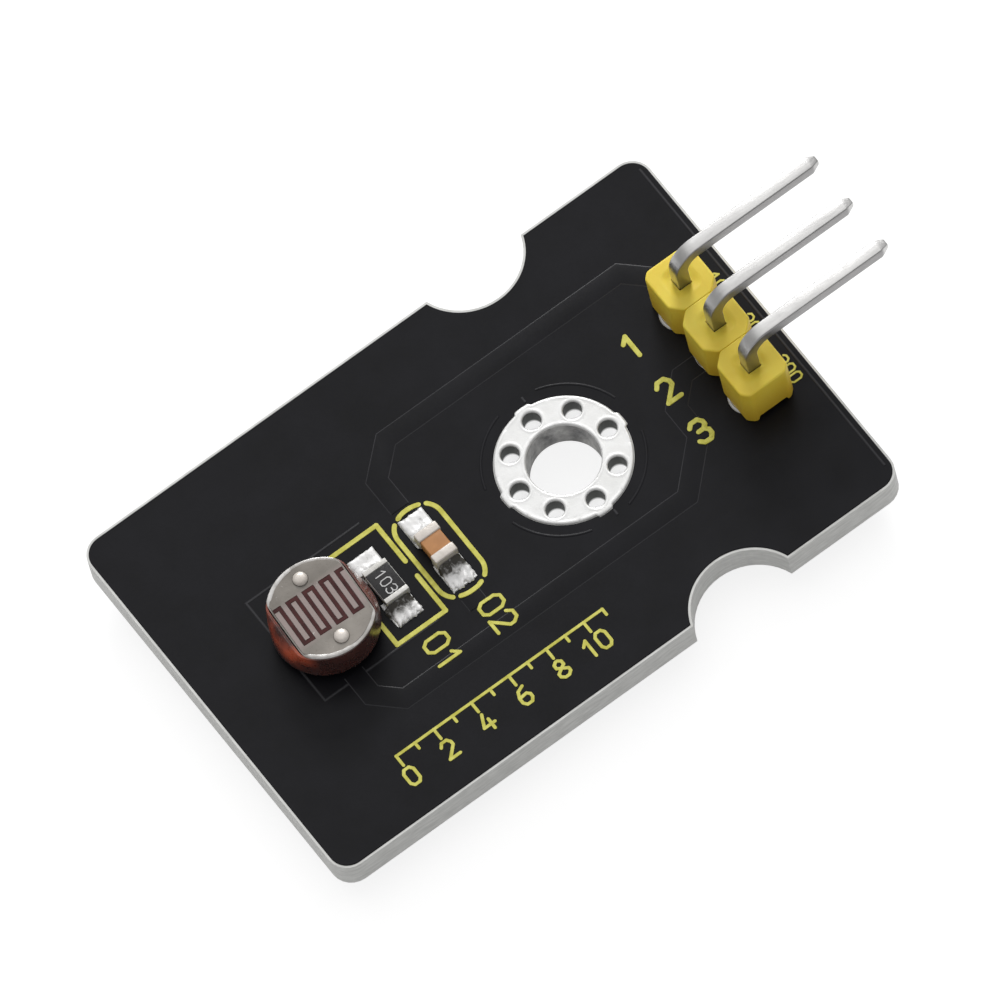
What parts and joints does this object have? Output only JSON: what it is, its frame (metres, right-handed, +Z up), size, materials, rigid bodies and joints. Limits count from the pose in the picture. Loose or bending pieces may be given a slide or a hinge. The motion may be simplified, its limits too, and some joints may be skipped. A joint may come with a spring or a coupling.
{
  "type": "photocell sensor module",
  "caption": "Small black sensor board with a light-dependent resistor, chip parts, a plated fixing hole, half-round edge notches and a bent-pin yellow header.",
  "frame": {"origin": "middle of the module's length and width, on the surface that the soldered tails stand on", "axes": "+X along the board from the photocell to the pin tips, +Y across the board, +Z up through the board"},
  "size_m": [0.035, 0.0198, 0.008],
  "materials": {
    "solder_mask": "satin black solder mask over glass-epoxy laminate, pale cut edges",
    "tinned_copper": "dull silver tinned copper",
    "header_nylon": "satin yellow moulded nylon",
    "tinned_pin": "bright tinned square wire",
    "solder": "bright solder",
    "photocell_resin": "glossy dark red resin",
    "photocell_ceramic": "grey-beige fired ceramic",
    "photocell_electrode": "dull metal film",
    "photocell_track": "dark red-brown sensitive layer",
    "lead_wire": "tinned round wire",
    "resistor_alumina": "white alumina",
    "resistor_glaze": "black glaze",
    "chip_end_tin": "dull tinned chip end",
    "capacitor_ceramic": "tan ceramic"
  },
  "bodies": {
    "root": {"circuit_board": "solder_mask", "fixing_hole_plating": "tinned_copper", "header_housing": "header_nylon", "header_pin_1": "tinned_pin", "header_pin_2": "tinned_pin", "header_pin_3": "tinned_pin", "header_pad_1": "tinned_copper", "header_pad_2": "tinned_copper", "header_pad_3": "tinned_copper", "header_solder_1": "solder", "header_solder_2": "solder", "header_solder_3": "solder", "photocell_cup": "photocell_resin", "photocell_chip": "photocell_ceramic", "photocell_electrode_1": "photocell_electrode", "photocell_electrode_2": "photocell_electrode", "photocell_track": "photocell_track", "photocell_lead_1": "lead_wire", "photocell_lead_2": "lead_wire", "photocell_pad_1": "tinned_copper", "photocell_pad_2": "tinned_copper", "photocell_solder_1": "solder", "photocell_solder_2": "solder", "resistor_body": "resistor_alumina", "resistor_glaze": "resistor_glaze", "resistor_end_1": "chip_end_tin", "resistor_end_2": "chip_end_tin", "resistor_land_1": "tinned_copper", "resistor_land_2": "tinned_copper", "resistor_solder_1": "solder", "resistor_solder_2": "solder", "capacitor_body": "capacitor_ceramic", "capacitor_end_1": "chip_end_tin", "capacitor_end_2": "chip_end_tin", "capacitor_land_1": "tinned_copper", "capacitor_land_2": "tinned_copper", "capacitor_solder_1": "solder", "capacitor_solder_2": "solder"}
  },
  "joints": []
}
